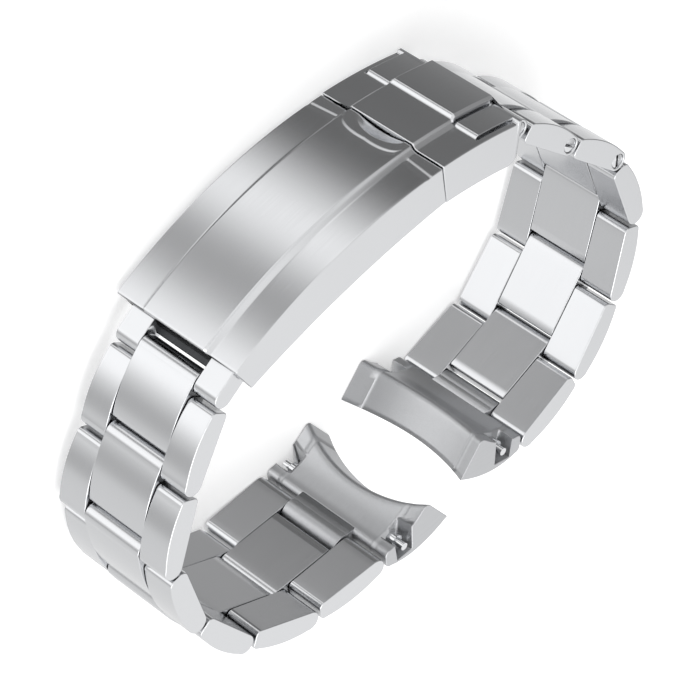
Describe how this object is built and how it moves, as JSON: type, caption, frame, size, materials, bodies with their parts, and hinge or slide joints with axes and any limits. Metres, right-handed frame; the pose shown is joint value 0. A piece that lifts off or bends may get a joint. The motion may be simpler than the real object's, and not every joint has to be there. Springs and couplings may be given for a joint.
{
  "type": "link watch bracelet",
  "caption": "Steel link watch bracelet, closed in a loop, with three-piece links, curved end links and a folding clasp with a safety catch.",
  "frame": {"origin": "the middle of the bracelet's bounding box, at its base", "axes": "the hinges turn about Z; X runs along the clasp towards the safety catch, and Y points out through the clasp cover; the loop lies on its side"},
  "size_m": [0.0766, 0.0562, 0.02],
  "materials": {
    "brushed_steel": "brushed along the bracelet",
    "polished_steel": "polished"
  },
  "bodies": {
    "cover": {"clasp_cover": "brushed_steel", "catch_rivets": "polished_steel", "cover_hinge_pin": "polished_steel", "clasp_spring_bar": "polished_steel"},
    "catch": {"safety_catch": "brushed_steel"},
    "upper_blade": {"clasp_blade_upper": "brushed_steel", "fold_hinge_pin": "polished_steel"},
    "lower_blade": {"clasp_blade_lower": "brushed_steel"},
    "left_half": {"left_half_link": "brushed_steel", "left_half_link_screw": "polished_steel"},
    "right_half": {"right_half_link": "brushed_steel", "right_half_link_pin": "polished_steel", "right_half_link_screw": "polished_steel"},
    "left_1": {"left_link_1_centre": "brushed_steel", "left_link_1_sides": "brushed_steel", "left_link_1_pin": "polished_steel", "left_link_1_screw": "polished_steel"},
    "left_2": {"left_link_2_centre": "brushed_steel", "left_link_2_sides": "brushed_steel", "left_link_2_pin": "polished_steel", "left_link_2_screw": "polished_steel"},
    "left_3": {"left_link_3_centre": "brushed_steel", "left_link_3_sides": "brushed_steel", "left_link_3_pins": "polished_steel"},
    "left_4": {"left_link_4_centre": "brushed_steel", "left_link_4_sides": "brushed_steel", "left_link_4_pins": "polished_steel"},
    "left_5": {"left_link_5_centre": "brushed_steel", "left_link_5_sides": "brushed_steel", "left_link_5_pins": "polished_steel"},
    "left_6": {"left_link_6_centre": "brushed_steel", "left_link_6_sides": "brushed_steel", "left_link_6_pins": "polished_steel"},
    "left_end": {"left_end_link": "brushed_steel", "left_case_bar": "polished_steel"},
    "right_1": {"right_link_1_centre": "brushed_steel", "right_link_1_sides": "brushed_steel", "right_link_1_pin": "polished_steel", "right_link_1_screw": "polished_steel"},
    "right_2": {"right_link_2_centre": "brushed_steel", "right_link_2_sides": "brushed_steel", "right_link_2_pin": "polished_steel", "right_link_2_screw": "polished_steel"},
    "right_3": {"right_link_3_centre": "brushed_steel", "right_link_3_sides": "brushed_steel", "right_link_3_pins": "polished_steel"},
    "right_4": {"right_link_4_centre": "brushed_steel", "right_link_4_sides": "brushed_steel", "right_link_4_pins": "polished_steel"},
    "right_5": {"right_link_5_centre": "brushed_steel", "right_link_5_sides": "brushed_steel", "right_link_5_pins": "polished_steel"},
    "right_6": {"right_link_6_centre": "brushed_steel", "right_link_6_sides": "brushed_steel", "right_link_6_pins": "polished_steel"},
    "right_end": {"right_end_link": "brushed_steel", "right_case_bar": "polished_steel"}
  },
  "joints": [
    {"name": "catch_hinge", "type": "hinge", "parent": "cover", "child": "catch", "pos_m": [0.02291, 0.01966, 0.01], "axis": [0, 0, -1], "range_deg": [0, 36]},
    {"name": "clasp_fold", "type": "hinge", "parent": "cover", "child": "upper_blade", "pos_m": [0.0091, 0.02334, 0.01], "axis": [0, 0, 1], "range_deg": [0, 165]},
    {"name": "blade_fold", "type": "hinge", "parent": "upper_blade", "child": "lower_blade", "pos_m": [-0.01413, 0.02318, 0.01], "axis": [0, 0, 1], "range_deg": [-165, 0]},
    {"name": "left_half_hinge", "type": "hinge", "parent": "cover", "child": "left_half", "pos_m": [-0.01851, 0.02258, 0.01], "axis": [0, 0, -1], "range_deg": [-1, 10]},
    {"name": "right_half_hinge", "type": "hinge", "parent": "lower_blade", "child": "right_half", "pos_m": [0.02087, 0.01712, 0.01], "axis": [0, 0, 1], "range_deg": [-1, 7]},
    {"name": "left_hinge_1", "type": "hinge", "parent": "left_half", "child": "left_1", "pos_m": [-0.02199, 0.02127, 0.01], "axis": [0, 0, -1], "range_deg": [-1, 25]},
    {"name": "left_hinge_2", "type": "hinge", "parent": "left_1", "child": "left_2", "pos_m": [-0.02976, 0.0142, 0.01], "axis": [0, 0, -1], "range_deg": [-1, 13]},
    {"name": "left_hinge_3", "type": "hinge", "parent": "left_2", "child": "left_3", "pos_m": [-0.03622, 0.00593, 0.01], "axis": [0, 0, -1], "range_deg": [-1, 39]},
    {"name": "left_hinge_4", "type": "hinge", "parent": "left_3", "child": "left_4", "pos_m": [-0.03663, -0.00457, 0.01], "axis": [0, 0, -1], "range_deg": [-1, 27]},
    {"name": "left_hinge_5", "type": "hinge", "parent": "left_4", "child": "left_5", "pos_m": [-0.03271, -0.01431, 0.01], "axis": [0, 0, -1], "range_deg": [-8, 35]},
    {"name": "left_hinge_6", "type": "hinge", "parent": "left_5", "child": "left_6", "pos_m": [-0.0242, -0.02046, 0.01], "axis": [0, 0, -1], "range_deg": [-8, 28]},
    {"name": "left_end_hinge", "type": "hinge", "parent": "left_6", "child": "left_end", "pos_m": [-0.01389, -0.02243, 0.01], "axis": [0, 0, -1], "range_deg": [-20, 3]},
    {"name": "right_hinge_1", "type": "hinge", "parent": "right_half", "child": "right_1", "pos_m": [0.02471, 0.01807, 0.01], "axis": [0, 0, 1], "range_deg": [-1, 73]},
    {"name": "right_hinge_2", "type": "hinge", "parent": "right_1", "child": "right_2", "pos_m": [0.0305, 0.00931, 0.01], "axis": [0, 0, 1], "range_deg": [-1, 3]},
    {"name": "right_hinge_3", "type": "hinge", "parent": "right_2", "child": "right_3", "pos_m": [0.03624, 0.00052, 0.01], "axis": [0, 0, 1], "range_deg": [-1, 34]},
    {"name": "right_hinge_4", "type": "hinge", "parent": "right_3", "child": "right_4", "pos_m": [0.03662, -0.00998, 0.01], "axis": [0, 0, 1], "range_deg": [-1, 38]},
    {"name": "right_hinge_5", "type": "hinge", "parent": "right_4", "child": "right_5", "pos_m": [0.03086, -0.01875, 0.01], "axis": [0, 0, 1], "range_deg": [-8, 23]},
    {"name": "right_hinge_6", "type": "hinge", "parent": "right_5", "child": "right_6", "pos_m": [0.02237, -0.02494, 0.01], "axis": [0, 0, 1], "range_deg": [-8, 30]},
    {"name": "right_end_hinge", "type": "hinge", "parent": "right_6", "child": "right_end", "pos_m": [0.01198, -0.02647, 0.01], "axis": [0, 0, 1], "range_deg": [-20, 37]}
  ],
  "couplings": [
    {"joint": "blade_fold", "follows": "clasp_fold", "ratio": -1}
  ]
}
